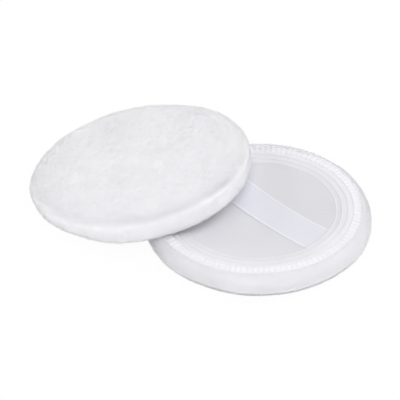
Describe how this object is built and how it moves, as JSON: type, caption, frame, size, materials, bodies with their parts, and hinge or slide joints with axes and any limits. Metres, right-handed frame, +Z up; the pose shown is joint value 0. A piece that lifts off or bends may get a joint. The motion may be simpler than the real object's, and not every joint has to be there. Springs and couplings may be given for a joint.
{
  "type": "powder puff",
  "caption": "Soft round plush powder puffs for dabbing on face powder, one leaning on the other, each with a crimped film back and a satin finger ribbon.",
  "frame": {"origin": "middle of the lower puff's flat plush face, on the table", "axes": "+X from the leaning puff towards the lower puff, +Z up, square to the table"},
  "size_m": [0.1258, 0.08, 0.0241],
  "materials": {
    "plush": "short white velour pile, matte",
    "sponge": "open white foam, matte",
    "film": "clear glossy vinyl film over white",
    "seal": "clear glossy vinyl, heat-crimped",
    "ribbon": "white satin, slightly bluish sheen"
  },
  "bodies": {
    "lower_puff": {"lower_plush_cover": "plush", "lower_sponge_pad": "sponge", "lower_back_film": "film", "lower_seal_ring": "seal", "lower_ribbon_far_end": "ribbon", "lower_ribbon_near_end": "ribbon"},
    "lower_strap": {"lower_ribbon_grip": "ribbon"},
    "upper_puff": {"upper_plush_cover": "plush", "upper_sponge_pad": "sponge", "upper_back_film": "film", "upper_seal_ring": "seal", "upper_ribbon_far_end": "ribbon", "upper_ribbon_near_end": "ribbon"},
    "upper_strap": {"upper_ribbon_grip": "ribbon"}
  },
  "joints": [
    {"name": "lower_strap_lift", "type": "slide", "parent": "lower_puff", "child": "lower_strap", "axis": [0, 0, 1], "range_m": [0, 0.006], "stiffness_N_per_m": 20},
    {"name": "upper_lift_off", "type": "slide", "parent": "lower_puff", "child": "upper_puff", "axis": [0, 0, 1], "range_m": [0, 0.06]},
    {"name": "upper_strap_draw", "type": "slide", "parent": "upper_puff", "child": "upper_strap", "axis": [0.1984, 0, -0.9801], "range_m": [0, 0.006], "stiffness_N_per_m": 20}
  ]
}
